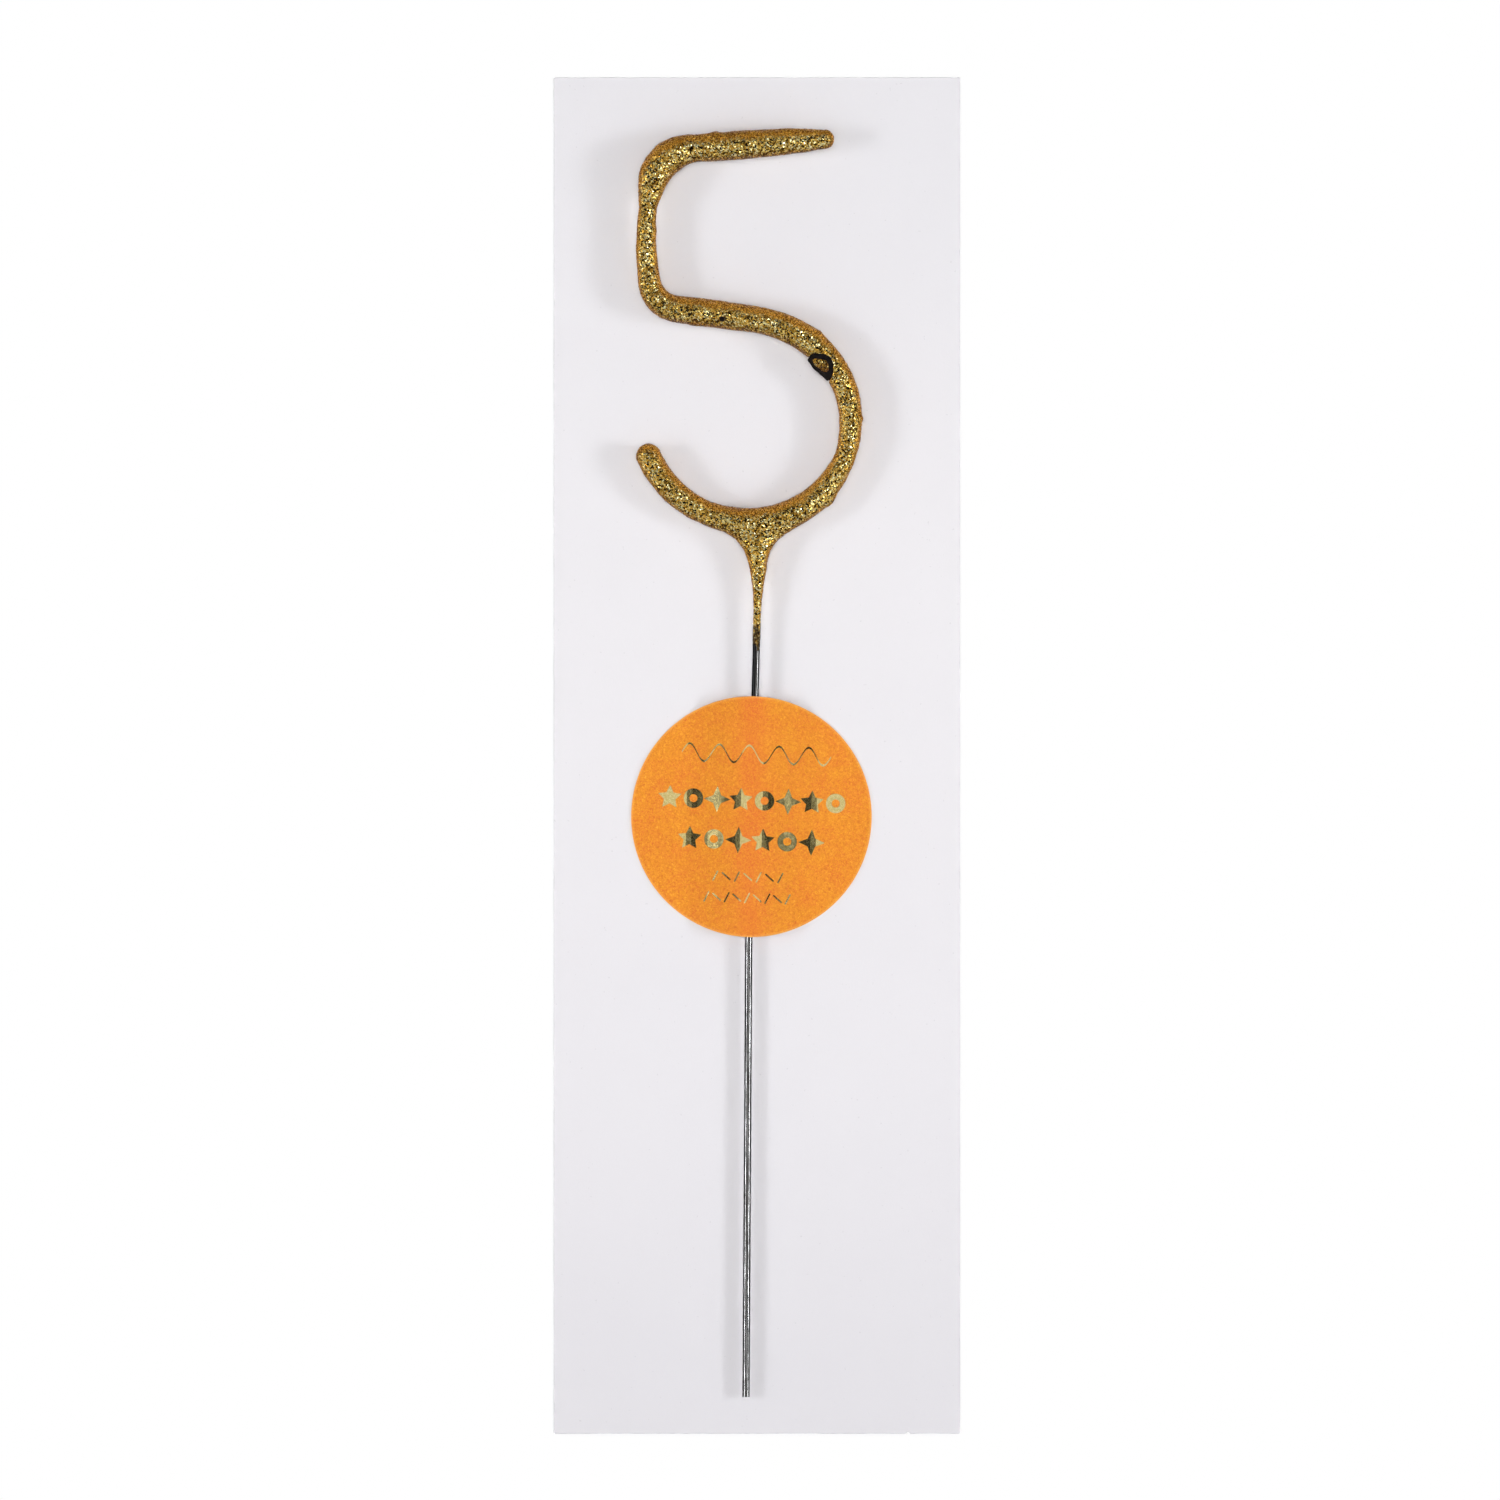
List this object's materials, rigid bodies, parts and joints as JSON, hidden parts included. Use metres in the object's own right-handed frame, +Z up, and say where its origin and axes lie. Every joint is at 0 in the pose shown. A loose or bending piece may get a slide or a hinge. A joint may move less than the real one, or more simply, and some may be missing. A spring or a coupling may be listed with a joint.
{
  "type": "number birthday candle",
  "caption": "Gold hand-dipped sparkler candle shaped as the numeral 5 on a thin steel wire, lying on a white backing card under a round orange paper label.",
  "frame": {"origin": "centre of the steel stem's cut lower tip", "axes": "+Z up along the straight lower stem, the front of numeral, card and label faces -Y, +X to the right as seen from the front"},
  "size_m": [0.0612, 0.0062, 0.2006],
  "materials": {
    "steel_wire": "bright drawn wire with fine lengthwise lines",
    "weld": "dull grey weld metal",
    "sparkler_composition": "matte dark pressed powder",
    "gold_glitter": "gold glitter lacquer, grainy and sparkling with dark specks",
    "card_board": "smooth uncoated white board",
    "label_paper": "matte orange paper with fine mottling",
    "adhesive": "clear adhesive film",
    "gold_foil": "hot-stamped satin gold foil"
  },
  "bodies": {
    "candle": {"stem_wire": "steel_wire", "numeral_wire": "steel_wire", "weld_nugget": "weld", "sparkler_core": "sparkler_composition", "gold_coat": "gold_glitter"},
    "pack": {"backing_card": "card_board", "label": "label_paper", "glue_left": "adhesive", "glue_right": "adhesive", "foil_print": "gold_foil"}
  },
  "joints": [
    {"name": "card_slide", "type": "slide", "parent": "candle", "child": "pack", "axis": [0, 0, -1], "range_m": [0, 0.15]}
  ]
}
